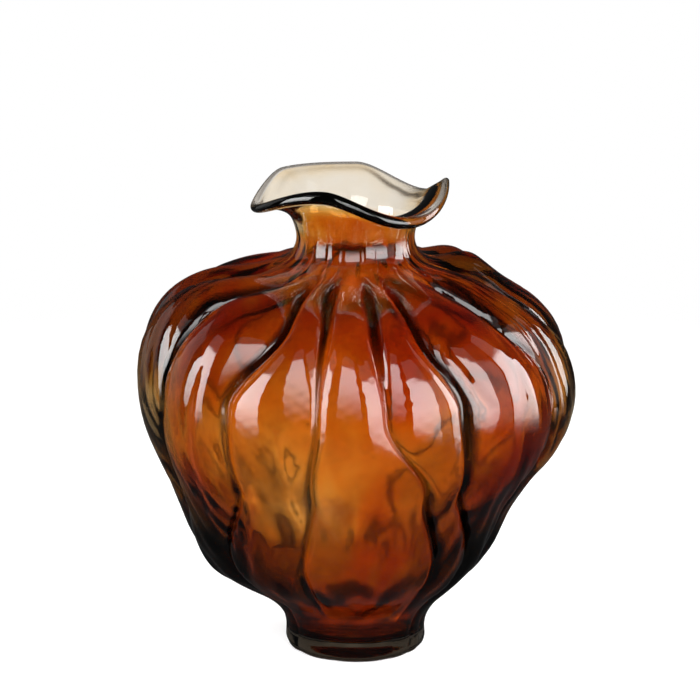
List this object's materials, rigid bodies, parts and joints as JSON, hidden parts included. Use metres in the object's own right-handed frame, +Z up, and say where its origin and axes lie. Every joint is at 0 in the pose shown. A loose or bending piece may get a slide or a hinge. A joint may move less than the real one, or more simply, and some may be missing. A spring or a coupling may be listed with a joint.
{
  "type": "gourd vase",
  "caption": "Footed vase of amber blown glass with a pleated gourd body, a short narrow neck and a flared wavy lip, for flowers or display.",
  "frame": {"origin": "centre of the foot's underside, on the surface that the vase stands on", "axes": "+Z up along the vase's axis, -Y towards the viewer of the picture"},
  "size_m": [0.2883, 0.2873, 0.3208],
  "materials": {
    "foot_glass": "polished, smoke brown",
    "bulb_glass": "polished, amber",
    "neck_glass": "polished, golden amber",
    "lip_glass": "fire polished, pale smoke"
  },
  "bodies": {
    "root": {"foot": "foot_glass", "bulb": "bulb_glass", "neck": "neck_glass", "lip": "lip_glass"}
  },
  "joints": []
}
